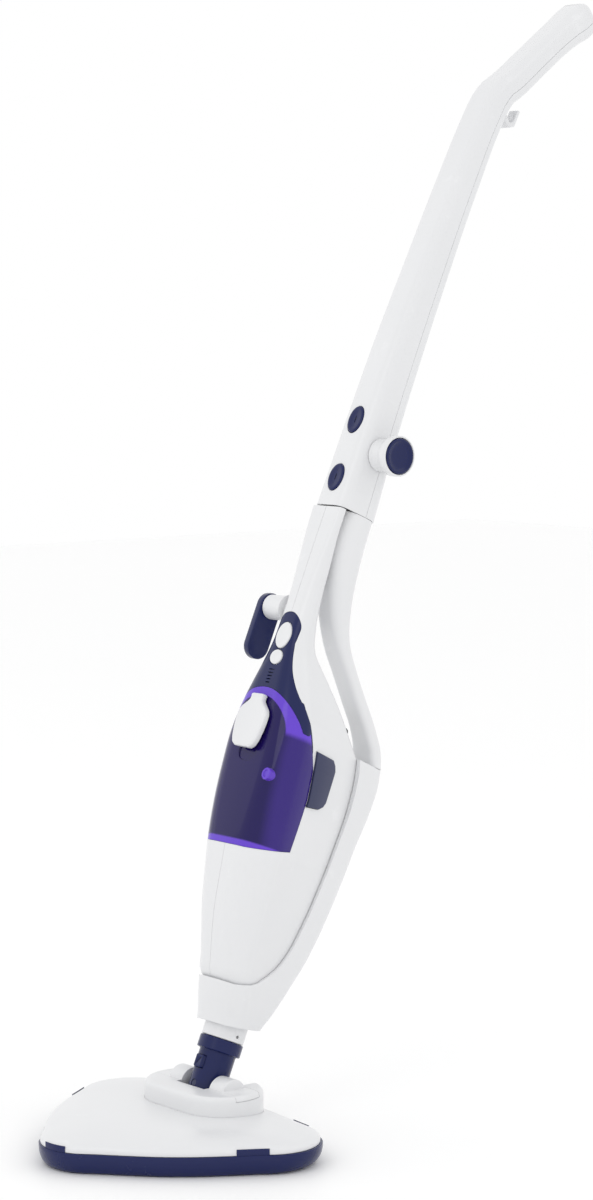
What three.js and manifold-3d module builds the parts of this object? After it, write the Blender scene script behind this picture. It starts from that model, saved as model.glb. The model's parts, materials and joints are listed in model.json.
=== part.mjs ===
// Steam mop: a floor head on a two-axis neck, a lift-out hand-held steamer, and the
// long handle that bows round it. Millimetres, +Z up, the front of the mop towards -Y.
// The origin is on the floor at the middle of the sole.
//
// The upright is drawn in its own frame, which starts at the neck pivot:
// x across, y from the front to the back of the mop, z up along the neck.

import * as THREE from 'three';
import { mergeVertices } from 'three/addons/utils/BufferGeometryUtils.js';
import Module from 'manifold-3d';

const wasm = await Module();
wasm.setup();

// ---------- driving dimensions ----------

const lean = THREE.MathUtils.degToRad(23.5);  // the upright leans back by this much
const pivotBack = 68.5;                       // neck pivot behind the middle of the sole
const pivotHeight = 45;
const gap = 0.3;                              // between pieces that touch

const headWidth = 290;
const headFront = 172;                        // from the neck pivot to the nose
const headBack = 35;                          // from the neck pivot to the back corners
const headCorner = 45;
const sideBulge = 9;
const gliderTop = 19;
const coverTop = 33;
const turret = { width: 124, depth: 77, middle: -3.5, top: 50 };
const slotHalf = 20;                          // half the width of the slot for the neck
const slotFloor = 26.2;
const trunnionRadius = 14;
const pinRadius = 4;

const spoutRadius = 19.5;
const neckRing = { radius: 20, low: 32.5, high: 44.2 };
const neckRadius = 16.7;
const neckBore = 12.8;
const neckCavity = 13.4;                      // round the gimbal ring
const ringOuter = 12;
const ringInner = 7;

const wall = 2.6;
const tongueTop = 529.5;                      // top of the hand-held unit's handle
const buttonHeights = { upper: 615, lower: 558 };
const cordPost = { y: -52, z: 590 };
const hookAxis = { y: -66, z: 432 };
const hookReach = 38;
const tankSpan = { low: 210, high: 354, archHalf: 46, archRise: 43 };
const steamButton = { z: 404, wide: 19, tall: 25 };
const powerButton = { z: 383, wide: 16, tall: 14 };
const gripTilt = 30;                          // degrees that the hand grip bends back

// ---------- materials ----------

function finish(color, roughness, metalness = 0, opacity = 1) {
  return new THREE.MeshStandardMaterial({
    color, roughness, metalness, opacity, transparent: opacity < 1,
  });
}

const white = finish('#f1f1f2', 0.32);
const navy = finish('#1b2347', 0.3);
const slate = finish('#2c3355', 0.38);
const violet = finish('#4b1fb0', 0.12, 0, 0.6);
const rubber = finish('#22242a', 0.85);
const steel = finish('#b9bcc0', 0.3, 1);
const brass = finish('#b08d4a', 0.4, 1);
const alloy = finish('#a3a6aa', 0.5, 1);
const boardGreen = finish('#1f5a36', 0.6);
const hoseClear = finish('#d8d8d2', 0.5);
const fibre = finish('#e9ebee', 0.95);

// ---------- solids ----------

function solid(geometry) {
  const bare = geometry.index ? geometry.toNonIndexed() : geometry.clone();
  bare.deleteAttribute('normal');
  bare.deleteAttribute('uv');
  const merged = mergeVertices(bare, 1e-4);
  return new wasm.Manifold(new wasm.Mesh({
    numProp: 3,
    vertProperties: new Float32Array(merged.attributes.position.array),
    triVerts: new Uint32Array(merged.index.array),
  }));
}

function geometryOf(shape) {
  const raw = shape.getMesh();
  const geometry = new THREE.BufferGeometry();
  geometry.setAttribute('position', new THREE.BufferAttribute(raw.vertProperties, 3));
  geometry.setIndex(new THREE.BufferAttribute(raw.triVerts, 1));
  geometry.computeVertexNormals();
  return geometry;
}

function box(x0, x1, y0, y1, z0, z1) {
  const geometry = new THREE.BoxGeometry(x1 - x0, y1 - y0, z1 - z0);
  geometry.translate((x0 + x1) / 2, (y0 + y1) / 2, (z0 + z1) / 2);
  return solid(geometry);
}

// A round bar along one axis, from a to b, round the point (u, v) of the other two axes.
function rod(axis, radius, a, b, u, v, endRadius = radius, sides = 24) {
  const geometry = new THREE.CylinderGeometry(endRadius, radius, b - a, sides);
  geometry.translate(0, (a + b) / 2, 0);
  if (axis === 'x') {
    geometry.rotateZ(-Math.PI / 2);
    geometry.translate(0, u, v);
  } else if (axis === 'y') {
    geometry.translate(u, 0, v);
  } else {
    geometry.rotateX(Math.PI / 2);
    geometry.translate(u, v, 0);
  }
  return solid(geometry);
}

// An outline in x and z, pushed through from y0 to y1.
function frontPrism(shape, y0, y1, steps = 6) {
  const geometry = new THREE.ExtrudeGeometry(shape, {
    depth: y1 - y0, bevelEnabled: false, curveSegments: steps,
  });
  geometry.rotateX(Math.PI / 2);
  geometry.translate(0, y1, 0);
  return solid(geometry);
}

// An outline in y and z, pushed through from x0 to x1.
function sidePrism(shape, x0, x1, steps = 6) {
  const geometry = new THREE.ExtrudeGeometry(shape, {
    depth: x1 - x0, bevelEnabled: false, curveSegments: steps,
  });
  geometry.applyMatrix4(new THREE.Matrix4().makeBasis(
    new THREE.Vector3(0, 1, 0), new THREE.Vector3(0, 0, 1), new THREE.Vector3(1, 0, 0)));
  geometry.translate(x0, 0, 0);
  return solid(geometry);
}

// A tube along a smooth curve through the points.
function hose(points, radius, steps, sides = 8) {
  const path = new THREE.CatmullRomCurve3(points.map((p) => new THREE.Vector3(...p)));
  const round = new THREE.Shape().absarc(0, 0, radius, 0, 2 * Math.PI);
  const geometry = new THREE.ExtrudeGeometry(round, {
    steps, bevelEnabled: false, extrudePath: path, curveSegments: sides / 2,
  });
  return solid(geometry);
}

function polygon(points) {
  return new THREE.Shape(points.map(([a, b]) => new THREE.Vector2(a, b)));
}

function oval(middle, wide, tall) {
  return new THREE.Shape().absellipse(0, middle, wide / 2, tall / 2, 0, 2 * Math.PI);
}

function arc(cx, cy, radius, from, to, steps) {
  const points = [];
  for (let i = 0; i <= steps; i += 1) {
    const angle = THREE.MathUtils.degToRad(from + ((to - from) * i) / steps);
    points.push([cx + radius * Math.cos(angle), cy + radius * Math.sin(angle)]);
  }
  return points;
}

// A closed skin over rings of points; every ring has the same number of points.
// outlines are counter-clockwise in 2-D, and place(i, a, b) puts a point of ring i in space.
function loft(outlines, place) {
  const count = outlines[0].length;
  const positions = [];
  outlines.forEach((outline, i) => {
    outline.forEach(([a, b]) => positions.push(...place(i, a, b)));
  });
  const index = [];
  for (let i = 0; i + 1 < outlines.length; i += 1) {
    for (let j = 0; j < count; j += 1) {
      const a = i * count + j;
      const b = i * count + ((j + 1) % count);
      index.push(a, b, b + count, a, b + count, a + count);
    }
  }
  const cap = (outline, start, flip) => {
    const contour = outline.map(([a, b]) => new THREE.Vector2(a, b));
    THREE.ShapeUtils.triangulateShape(contour, []).forEach(([a, b, c]) => {
      index.push(start + a, start + (flip ? c : b), start + (flip ? b : c));
    });
  };
  cap(outlines[0], 0, true);
  cap(outlines[outlines.length - 1], (outlines.length - 1) * count, false);
  const geometry = new THREE.BufferGeometry();
  geometry.setAttribute('position', new THREE.Float32BufferAttribute(positions, 3));
  geometry.setIndex(index);
  return solid(geometry);
}

function piece(parent, name, shape, material) {
  const mesh = new THREE.Mesh(geometryOf(shape), material);
  mesh.name = name;
  parent.add(mesh);
}

// ---------- the handle: grip, pole, bow ----------

// Stations of the handle, from the unit's tongue to the end of the grip:
// middle (y, z), tilt back in degrees, width, depth.
function handleStations() {
  const straight = [
    [531, -77.5, -29.5, 42], [625, -76, -34, 41], [690, -74.2, -35, 40],
    [770, -69.8, -34.8, 37.8], [860, -64, -33, 36], [935, -57.5, -28.5, 35],
  ].map(([z, front, back, width]) => ({
    y: (front + back) / 2, z, tilt: 0, width, depth: back - front,
  }));
  const bend = [
    { y: -40.6, z: 951, tilt: 12, width: 34.5, depth: 28.6 },
    { y: -35.4, z: 965, tilt: 23, width: 34, depth: 28.2 },
  ];
  const rise = THREE.MathUtils.degToRad(gripTilt);
  const grip = [
    [12, 34, 28, 0], [88, 33, 28.5, 0], [107, 33.5, 30.5, 0.8],
    [121, 34.5, 34, 2], [131, 33, 33, 2.4], [137, 26, 26, 2.4],
  ].map(([along, width, depth, droop]) => ({
    y: -34.6 + along * Math.sin(rise) + droop * Math.cos(rise),
    z: 964 + along * Math.cos(rise) - droop * Math.sin(rise),
    tilt: gripTilt, width, depth,
  }));
  return [...straight, ...bend, ...grip];
}

function stationPlace(stations) {
  return (i, x, across) => {
    const { y, z, tilt } = stations[i];
    const angle = THREE.MathUtils.degToRad(tilt);
    return [x, y + across * Math.cos(angle), z - across * Math.sin(angle)];
  };
}

// Half of a hollow rounded section: side -1 is the front half, +1 the back half.
function halfSection({ width, depth }, side, seam, thickness) {
  const half = width / 2;
  const end = depth / 2;
  const radius = Math.min(half, end) * 0.55;
  const steps = 2;
  const bow = (inset, r) => [
    [half - inset, seam],
    ...arc(half - radius, end - radius, r, 0, 90, steps),
    ...arc(-half + radius, end - radius, r, 90, 180, steps),
    [-half + inset, seam],
  ];
  const outer = bow(0, radius);
  const inner = bow(thickness, radius - thickness).reverse();
  const points = [...outer, ...inner];
  return side > 0 ? points : points.map(([x, y]) => [x, -y]).reverse();
}

function handleShells(upright) {
  const stations = handleStations();
  const shell = (side) => {
    const outlines = stations.map((s) => {
      const seam = s.depth * 0.15;
      return halfSection(s, side, side > 0 ? seam + gap : -seam, wall);
    });
    return loft(outlines, stationPlace(stations));
  };
  let front = shell(-1);
  Object.values(buttonHeights).forEach((z) => {
    front = front.subtract(frontPrism(oval(z, 19.6, 26.6), -90, -60, 8));
  });
  const lockHole = rod('x', 6.6, 10, 30, cordPost.y, cordPost.z);
  piece(upright, 'pole_front_shell', front.subtract(lockHole), white);
  piece(upright, 'pole_rear_shell', shell(1).subtract(lockHole), white);
}

// A plug that closes the end of the grip.
function gripPlug(upright) {
  const stations = handleStations().slice(-4).map((s) => ({
    ...s, width: s.width - 2 * wall - 1.4, depth: s.depth - 2 * wall - 1.4,
  }));
  const last = stations[3];
  const rise = THREE.MathUtils.degToRad(gripTilt);
  stations.push({
    ...last, y: last.y + 3 * Math.sin(rise), z: last.z + 3 * Math.cos(rise),
    width: last.width - 5, depth: last.depth - 5,
  });
  const outlines = stations.map((s) => roundedOutline(s.width, s.depth, 0.45, 3));
  piece(upright, 'grip_end_plug', loft(outlines, stationPlace(stations)), white);
}

function roundedOutline(width, depth, share, steps) {
  const radius = Math.min(width, depth) * share;
  const x = width / 2 - radius;
  const y = depth / 2 - radius;
  return [
    ...arc(x, -y, radius, -90, 0, steps), ...arc(x, y, radius, 0, 90, steps),
    ...arc(-x, y, radius, 90, 180, steps), ...arc(-x, -y, radius, 180, 270, steps),
  ];
}

function cordClip(upright) {
  const hook = polygon([
    [-25.4, 943], [-14, 938], [-8, 942], [-7, 958], [-10.5, 958], [-11.5, 945],
    [-15, 943], [-23, 949],
  ]);
  piece(upright, 'cord_clip', sidePrism(hook, -6, 6), white);
}

function releaseButton(upright, name, z, face) {
  const cap = frontPrism(oval(z, 19, 26), face - 1.2, face + 4, 8)
    .add(frontPrism(oval(z, 22, 29), face + 3.8, face + 5.6, 6))
    .add(rod('y', 4, face + 5, face + 17, 0, z, 4, 12));
  piece(upright, name, cap, navy);
}

function coil(radius, wire, turns, y0, y1, x, z) {
  const points = [];
  const steps = turns * 7;
  for (let i = 0; i <= steps; i += 1) {
    const angle = (i / 7) * 2 * Math.PI;
    points.push([
      x + radius * Math.cos(angle), y0 + ((y1 - y0) * i) / steps, z + radius * Math.sin(angle),
    ]);
  }
  return hose(points, wire, steps, 4);
}

function releaseParts(upright) {
  releaseButton(upright, 'upper_release_button', buttonHeights.upper, -76.2);
  releaseButton(upright, 'lower_release_button', buttonHeights.lower, -77.4);
  Object.entries(buttonHeights).forEach(([place, z]) => {
    piece(upright, `${place}_release_spring`, coil(6, 0.6, 4, -66.2, -56.5, 0, z), steel);
  });
}

function cordPostParts(upright) {
  const { y, z } = cordPost;
  const post = rod('x', 14.5, 21.4, 38, y, z, 15.5)
    .add(rod('x', 18.5, 37.6, 47, y, z, 18.5, 28))
    .add(rod('x', 6.2, 12, 22, y, z, 6.2, 16))
    .subtract(rod('x', 16.8, 44, 50, y, z, 16.8, 28));
  piece(upright, 'upper_cord_post', post, white);
  const cap = rod('x', 16.4, 44 + gap, 48, y, z, 15.4, 28)
    .subtract(rod('x', 12.6, 46.6, 50, y, z, 13.4, 28));
  piece(upright, 'upper_cord_post_cap', cap, navy);
}

// The bow leaves the pole behind the unit's handle and swings out round the unit.
function bowArm(upright) {
  const stations = [
    { y: -47.4, z: 530.6, tilt: 0, width: 42, depth: 36 },
    { y: -45.5, z: 500, tilt: -2, width: 40, depth: 36 },
    { y: -39.6, z: 472, tilt: -10, width: 36, depth: 31 },
    { y: -30.5, z: 446, tilt: -24, width: 31, depth: 24 },
    { y: -14, z: 416, tilt: -40, width: 27, depth: 15.5 },
    { y: 4, z: 397, tilt: -46, width: 26, depth: 13 },
    { y: 26, z: 375.5, tilt: -45, width: 26, depth: 13 },
    { y: 46, z: 356, tilt: -38, width: 27, depth: 13 },
    { y: 59.5, z: 338, tilt: -22, width: 31, depth: 13 },
    { y: 64.3, z: 324 + gap, tilt: 0, width: 35, depth: 13 },
  ].reverse();
  const outlines = stations.map((s) => roundedOutline(s.width, s.depth, 0.34, 3));
  const arm = loft(outlines, stationPlace(stations))
    .subtract(unitEnvelope(1.2))
    .subtract(box(-40, 40, -90, -66.4, 440, 560));
  piece(upright, 'bow_arm', arm, white);
}

// ---------- the hand-held unit and the cradle that carries it ----------

// Stations up the unit: height, front, back, front width, back width, corner radii.
const unitStations = [
  [64, -17, 17, 30, 30, 14, 14],
  [84, -20, 22, 36, 34, 16, 15],
  [95, -36, 35, 55, 42, 22, 19],
  [112, -43.5, 43, 60, 42, 25, 19],
  [132, -50.5, 50, 65, 42, 27, 18],
  [155, -57, 55, 73, 41, 28, 17],
  [185, -63, 59, 82, 40, 29, 16],
  [216, -68.5, 62, 90, 39, 29, 16],
  [250, -72.5, 63, 95, 38, 28, 15],
  [284, -75.5, 62.5, 96, 37, 27, 15],
  [310, -77.5, 56, 94, 38, 26, 16],
  [336, -78.7, 29, 86, 47, 26, 21],
  [360, -79, 1, 71, 52, 24, 22],
  [378, -78.3, -22, 56, 46, 19, 16],
  [397, -77.8, -44.5, 42, 39, 14, 12.5],
  [418, -77.8, -52.5, 37, 35, 12, 11],
  [445, -77.8, -57, 35, 33, 10.5, 9.5],
  [478, -77.8, -62.5, 36.5, 35.5, 7, 6.2],
  [510, -77.6, -68, 40, 40, 4.6, 4.2],
  [tongueTop, -77.4, -68.6, 41.4, 41.4, 4.2, 4],
];

function unitOutline([, front, back, frontWidth, backWidth, frontRadius, backRadius], grow) {
  const steps = 3;
  const fr = frontRadius + grow;
  const br = backRadius + grow;
  const fx = frontWidth / 2 - frontRadius;
  const bx = backWidth / 2 - backRadius;
  const fy = front + frontRadius;
  const by = back - backRadius;
  return [
    ...arc(fx, fy, fr, -90, 0, steps), ...arc(bx, by, br, 10, 90, steps),
    ...arc(-bx, by, br, 90, 170, steps), ...arc(-fx, fy, fr, 180, 270, steps),
  ];
}

// The outside of the whole unit, with its tank and panel, grown by a clearance.
function unitEnvelope(grow = 0, from = 0, to = unitStations.length) {
  const rows = unitStations.slice(from, to);
  const outlines = rows.map((row) => unitOutline(row, grow));
  return loft(outlines, (i, x, y) => {
    const end = i === 0 ? -grow : (i === rows.length - 1 ? grow : 0);
    return [x, y, rows[i][0] + end];
  });
}

const tankBack = -27;

function tankOutline(grow) {
  const { low, high, archHalf, archRise } = tankSpan;
  const shoulder = high - archRise;
  const arch = arc(0, 0, 1, 14, 166, 14)
    .map(([x, z]) => [x * (archHalf + grow), shoulder + z * (archRise + grow)]);
  return polygon([
    [60, low - grow], [60, shoulder + 1 + grow], ...arch,
    [-60, shoulder + 1 + grow], [-60, low - grow],
  ]);
}

function tankZone(grow) {
  const side = polygon([
    [-100, tankSpan.low - grow - 2], [-66, tankSpan.low - grow],
    [tankBack + grow, tankSpan.low + 9 - grow],
    [tankBack + grow, 268], [tankBack - 4 + grow, 294], [tankBack - 11 + grow, 307],
    [tankBack - 18 + grow, 318], [tankBack - 28 + grow, 334], [tankBack - 30 + grow, 362],
    [-100, 362],
  ]);
  return frontPrism(tankOutline(grow), -100, 0, 8).intersect(sidePrism(side, -70, 70));
}

function panelZone(grow) {
  const outline = polygon([
    ...arc(0, 411, 15.6 + grow, 0, 180, 10), [-15.3 - grow, 398], [-18 - grow, 386],
    [-23.5 - grow, 371], [-37 - grow, 348], [-60, 332 + grow], [-60, 306],
    [60, 306], [60, 332 + grow], [37 + grow, 348], [23.5 + grow, 371],
    [18 + grow, 386], [15.3 + grow, 398],
  ]);
  const flank = polygon([
    [-100, 300], [-37 + grow, 300], [-39 + grow, 310], [-46 + grow, 323], [-62 + grow, 347],
    [-66 + grow, 366], [-66 + grow, 430], [-100, 430],
  ]);
  return frontPrism(outline, -100, -30).intersect(sidePrism(flank, -70, 70));
}

function unitShells(upright) {
  const hollow = unitEnvelope(-wall, 0, unitStations.length - 1);
  const bore = rod('z', 8, 50, 80, 0, 0, 8, 16);
  const skin = unitEnvelope().subtract(hollow).subtract(bore)
    .subtract(tankZone(gap)).subtract(panelZone(gap))
    .subtract(rod('x', 6.6, -30, -5, hookAxis.y, hookAxis.z))
    .subtract(tabWindows(0.4))
    .subtract(rod('y', 7, 0, 60, 0, 344, 7, 16));
  const left = box(-80, -gap / 2, -120, 120, 0, 700);
  const right = box(gap / 2, 80, -120, 120, 0, 700);
  piece(upright, 'unit_left_shell', skin.intersect(left), white);
  piece(upright, 'unit_right_shell', skin.intersect(right), white);
}

function controlPanel(upright) {
  const skin = unitEnvelope().subtract(unitEnvelope(-2.4, 0, unitStations.length - 1));
  const panel = skin.intersect(panelZone(0)).subtract(tankZone(gap))
    .subtract(frontPrism(oval(steamButton.z, steamButton.wide + 0.7, steamButton.tall + 0.7),
      -90, -60, 8))
    .subtract(frontPrism(oval(powerButton.z, powerButton.wide + 0.7, powerButton.tall + 0.7),
      -90, -60, 7));
  piece(upright, 'control_panel', panel, navy);
}

function panelButton(upright, name, { z, wide, tall }, face) {
  const button = frontPrism(oval(z, wide, tall), face - 1, face + 4, 8)
    .add(rod('y', 2.5, face + 3.5, face + 8, 0, z, 2.5, 12));
  piece(upright, name, button, white);
}

function waterTank(upright) {
  const thickness = 2;
  const body = unitEnvelope().intersect(tankZone(0));
  const inside = unitEnvelope(-thickness).intersect(tankZone(-thickness));
  const filler = rod('y', 9.2, -90, -66, 0, 312, 9.2, 18);
  const outlet = rod('z', 4.5, 200, 220, 0, -44, 4.5, 12);
  piece(upright, 'water_tank', body.subtract(inside).subtract(filler).subtract(outlet), violet);
}

// The shelf and back wall that the tank slides up against.
function tankBay(upright) {
  const strip = polygon([
    [-62, 207.7], [-24.2, 216.3], [-24.2, 268], [-30.2, 306], [-37.4, 324], [-40, 324],
    [-32.6, 306], [-26.6, 268], [-26.6, 218.3], [-62, 210.3],
  ]);
  const bay = sidePrism(strip, -60, 60)
    .intersect(unitEnvelope(-wall - 0.4, 0, unitStations.length - 1))
    .subtract(rod('z', 5, 200, 220, 0, -44, 5, 12))
    .subtract(box(-16, 8, -33, -20, 200, 220));
  piece(upright, 'tank_bay', bay, slate);
}

// The filler cap is a flask-shaped flap: narrow at its hinge, round at the stopper.
function tankCap(upright) {
  const outline = polygon([
    [8.2, 346], [-8.2, 346], [-8.8, 339], [-16, 333], [-19.5, 324], [-18.6, 311], [-15, 299],
    [-11, 295.6], [11, 295.6], [15, 299], [18.6, 311], [19.5, 324], [16, 333], [8.8, 339],
  ]);
  const cap = frontPrism(outline, -86, -80.2)
    .add(rod('y', 8.4, -82, -75.6, 0, 312, 7.6, 18));
  piece(upright, 'tank_cap', cap, white);
  piece(upright, 'tank_cap_seal', rod('y', 12, -79.9, -78.5, 0, 312, 12, 18)
    .subtract(rod('y', 8.7, -81, -78, 0, 312, 8.7, 18)), rubber);
}

function tabSlot(grow) {
  return sidePrism(polygon([
    [-26 - grow, 262 - grow], [-7 + grow, 265 - grow], [1 + grow, 273],
    [2 + grow, 303], [-5 + grow, 312 + grow], [-33.4 - grow, 312 + grow],
    [-32.2 - grow, 306], [-26 - grow, 268],
  ]), -80, 80);
}

function tabWindows(grow) {
  const slot = tabSlot(grow);
  return slot.intersect(box(25, 80, -60, 60, 200, 340))
    .add(slot.intersect(box(-80, -25, -60, 60, 200, 340)));
}

// Squeeze tabs beside the tank, one on each side.
function tankTabs(upright) {
  [['left', -1], ['right', 1]].forEach(([place, side]) => {
    const zone = side > 0 ? box(30, 80, -60, 60, 200, 340) : box(-80, -30, -60, 60, 200, 340);
    const tab = unitEnvelope(2.2).subtract(unitEnvelope(-0.8)).intersect(tabSlot(0))
      .intersect(zone);
    piece(upright, `tank_tab_${place}`, tab, slate);
  });
}

function hookParts(upright) {
  const { y, z } = hookAxis;
  const post = rod('x', 11.5, -44, -18.7, y, z, 13, 24)
    .add(rod('x', 6.2, -19, -11, y, z, 6.2, 14))
    .subtract(rod('x', 4.3, -47, -35, y, z, 4.3, 12));
  piece(upright, 'hook_post', post, white);
  const racetrack = (radius) => polygon([
    ...arc(y, z, radius, 0, 180, 9), ...arc(y, z - hookReach, radius, 180, 360, 9),
  ]);
  const hook = sidePrism(racetrack(12.5), -51.5, -44 - gap)
    .subtract(sidePrism(racetrack(9.8), -53, -48.8))
    .add(rod('x', 4, -45, -36, y, z, 4, 12));
  piece(upright, 'swivel_cord_hook', hook, navy);
}

function unitInsides(upright) {
  piece(upright, 'boiler', rod('z', 20, 138, 206, 0, 2, 20, 24)
    .add(rod('z', 6, 122, 139, 0, 0, 6, 12)), alloy);
  piece(upright, 'water_pump', box(-15, 15, 12, 40, 226, 262)
    .add(rod('z', 11, 261, 292, 0, 26, 11, 20)), rubber);
  piece(upright, 'circuit_board', box(-22, 22, -12, -10.4, 226, 296), boardGreen);
  piece(upright, 'steam_switch', box(-6, 6, -68, -58, 396, 412), rubber);
  piece(upright, 'tank_valve', rod('z', 4.2, 196, 209.4, 0, -44, 4.2, 12)
    .add(rod('z', 6.5, 196, 206, 0, -44, 6.5, 12)), brass);
  piece(upright, 'feed_hose', hose(
    [[0, -36.2, 201], [0, -28, 204], [-8, -18, 212], [-10, 0, 216], [-7, 18, 217], [-6, 24, 220], [-6, 25, 225]],
    2.5, 12), hoseClear);
  piece(upright, 'boiler_hose', hose(
    [[8, 34, 225.5], [8, 33, 219], [8, 22, 213], [8, 10, 213], [8, 5, 210.5], [8, 4, 206.8]], 2.5, 10),
  hoseClear);
  const nozzle = rod('z', 7, 62.2, 108, 0, 0, 7, 16).add(rod('z', 10, 98, 112, 0, 2, 10, 16))
    .subtract(rod('z', 4.5, 50, 111, 0, 0, 4.5, 12));
  piece(upright, 'steam_nozzle', nozzle, brass);
  const gland = rod('y', 6.5, 0, 26, 0, 344, 5.8, 16).add(rod('y', 9, 1, 3, 0, 344, 9, 16))
    .subtract(rod('y', 3.6, 0, 40, 0, 344, 3.6, 12));
  piece(upright, 'cord_gland', gland, rubber);
}

// The cradle wraps the back and the foot of the unit: height, front, back, widths, radii.
const cradleStations = [
  [56, -27, 28, 54, 54, 25, 25],
  [62, -28, 29.5, 55, 55, 25, 25],
  [74, -32, 35, 58, 56, 26, 25],
  [92, -37.5, 42, 61, 54, 26, 23],
  [112, -44, 49.5, 64, 50, 28, 21],
  [132, -51, 56, 68, 49, 30, 20],
  [155, -57.5, 61, 76, 48, 30, 19],
  [185, -63.5, 66, 85, 47, 30, 19],
  [216, -69, 69.5, 92, 45.5, 30, 18],
  [250, -73, 72, 97, 44.5, 30, 17],
  [284, -76, 76, 98, 43, 30, 16],
  [308, -78, 74.5, 96, 39, 30, 10],
  [324, -79, 71, 88, 35, 28, 6],
];

function cradle(upright) {
  const outer = loft(cradleStations.map((row) => unitOutline(row, 0)),
    (i, x, y) => [x, y, cradleStations[i][0]]);
  const seam = polygon([
    [-120, 93], [-27, 93], [-12, 97], [0, 105], [12, 117], [21, 134], [27, 158], [33, 198],
    [37, 240], [39, 280], [37, 305], [30, 360], [-120, 360],
  ]);
  const shell = outer.subtract(unitEnvelope(0.5)).subtract(sidePrism(seam, -80, 80))
    .subtract(rod('z', 24, 63, 93.5, 0, 2, 26, 28))
    .subtract(sidePrism(polygon([[-60, 40], [60, 40], [60, 66.9], [-30, 54.5]]), -60, 60))
    .subtract(rod('z', spoutRadius + gap, 50, 64, 0, 0, spoutRadius + gap, 28));
  piece(upright, 'cradle', shell, white);
}

function frameSpout(upright) {
  const tube = rod('z', spoutRadius, neckRing.high + gap, 63.5, 0, 0, spoutRadius, 28)
    .add(rod('z', neckBore, 30, 50, 0, 0, neckBore, 24))
    .subtract(rod('z', 9.5, 20, 70, 0, 0, 9.5, 20))
    .subtract(rod('x', 1.6, 10, 30, 0, 50, 1.6, 10));
  piece(upright, 'frame_spout', tube, white);
}

// ---------- the neck ----------

function neckParts(upright) {
  const tube = rod('z', neckRadius, -6, neckRing.low, 0, 0, neckRadius, 28)
    .add(rod('z', neckRing.radius, neckRing.low - 0.5, neckRing.high, 0, 0,
      neckRing.radius, 32))
    .subtract(rod('z', neckBore + gap, 29.5, 50, 0, 0, neckBore + gap, 24))
    .subtract(rod('z', 9, 9, 31, 0, 0, 9, 20))
    .subtract(rod('z', neckCavity, -8, 10, 0, 0, neckCavity, 24))
    .subtract(box(-30, 30, -5.4, 5.4, -8, 8.2))
    .subtract(rod('y', pinRadius - 0.6, -20, 20, 0, 0, pinRadius - 0.6, 12))
    .subtract(box(-5.3, 5.3, -30, -10, 14, 26.3));
  piece(upright, 'neck_adapter', tube, navy);
  piece(upright, 'neck_latch_button', box(-5, 5, -19.2, -13, 14.3, 26), navy);
  piece(upright, 'neck_hose', rod('z', 4.5, 6, 29, 0, 0, 4.5, 12)
    .subtract(rod('z', 2.5, 0, 40, 0, 0, 2.5, 8)), hoseClear);
}

// The gimbal ring turns the neck sideways on one pair of pins and the head fore and aft
// on the other.
function gimbalRing(upright) {
  const ring = rod('z', ringOuter, -6, 6, 0, 0, ringOuter, 24)
    .add(rod('y', pinRadius - 1, -16, 16, 0, 0, pinRadius - 1, 12))
    .add(rod('x', pinRadius, -33, 33, 0, 0, pinRadius, 16))
    .subtract(rod('z', ringInner, -8, 8, 0, 0, ringInner, 20));
  piece(upright, 'gimbal_ring', ring, slate);
}

// ---------- the floor head ----------

// The plan of the head, nose forward, as a share of its full size about its middle.
const planMiddle = (headBack - headFront) / 2;

function planOutline(share) {
  const side = headWidth / 2 - headCorner;
  const rear = headBack - headCorner;
  const nose = -headFront + headCorner;
  const legTurn = THREE.MathUtils.radToDeg(Math.atan2(rear - nose, side));
  const points = [
    ...cornerArc(side, rear, legTurn - 90, 90), ...bulged([side, rear + headCorner],
      [-side, rear + headCorner]),
    ...cornerArc(-side, rear, 90, 270 - legTurn),
    ...bulged(
      edge(-side, rear, 270 - legTurn), edge(0, nose, 270 - legTurn)),
    ...cornerArc(0, nose, 270 - legTurn, 270 + legTurn),
    ...bulged(edge(0, nose, 270 + legTurn), edge(side, rear, 270 + legTurn)),
  ];
  return points.map(([x, y]) => [x * share, planMiddle + (y - planMiddle) * share]);
}

function edge(x, y, angle) {
  const turn = THREE.MathUtils.degToRad(angle);
  return [x + headCorner * Math.cos(turn), y + headCorner * Math.sin(turn)];
}

function cornerArc(x, y, from, to) {
  return arc(x, y, headCorner, from, to, 5);
}

// Points between two ends, pushed outward into a shallow arch.
function bulged([x0, y0], [x1, y1]) {
  const points = [];
  const length = Math.hypot(x1 - x0, y1 - y0);
  const steps = 4;
  for (let i = 1; i < steps; i += 1) {
    const share = i / steps;
    const rise = sideBulge * Math.sin(Math.PI * share) ** 1.2;
    points.push([
      x0 + (x1 - x0) * share + ((y1 - y0) / length) * rise,
      y0 + (y1 - y0) * share - ((x1 - x0) / length) * rise,
    ]);
  }
  return points;
}

function planLoft(rows) {
  return loft(rows.map(([share]) => planOutline(share)), (i, x, y) => [x, y, rows[i][1]]);
}

function dome(inset) {
  const share = (value) => value - inset / 140;
  return planLoft([
    [share(1), gliderTop - (inset > 0 ? 4 : 0)], [share(1), 22 - inset],
    [share(0.985), 24.3 - inset], [share(0.94), 26.6 - inset], [share(0.84), 29 - inset],
    [share(0.68), 31.3 - inset], [share(0.45), coverTop - inset],
  ]);
}

function turretBody() {
  const plan = roundedOutline(turret.width, turret.depth, 0.49, 5);
  const narrow = roundedOutline(turret.width - 8, turret.depth - 8, 0.49, 5);
  const outlines = [plan, plan, plan.map(([x, y]) => [x * 0.985, y * 0.975]), narrow];
  const heights = [22, turret.top - 5, turret.top - 1.4, turret.top];
  return loft(outlines, (i, x, y) => [x, y + turret.middle, heights[i]]);
}

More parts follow.
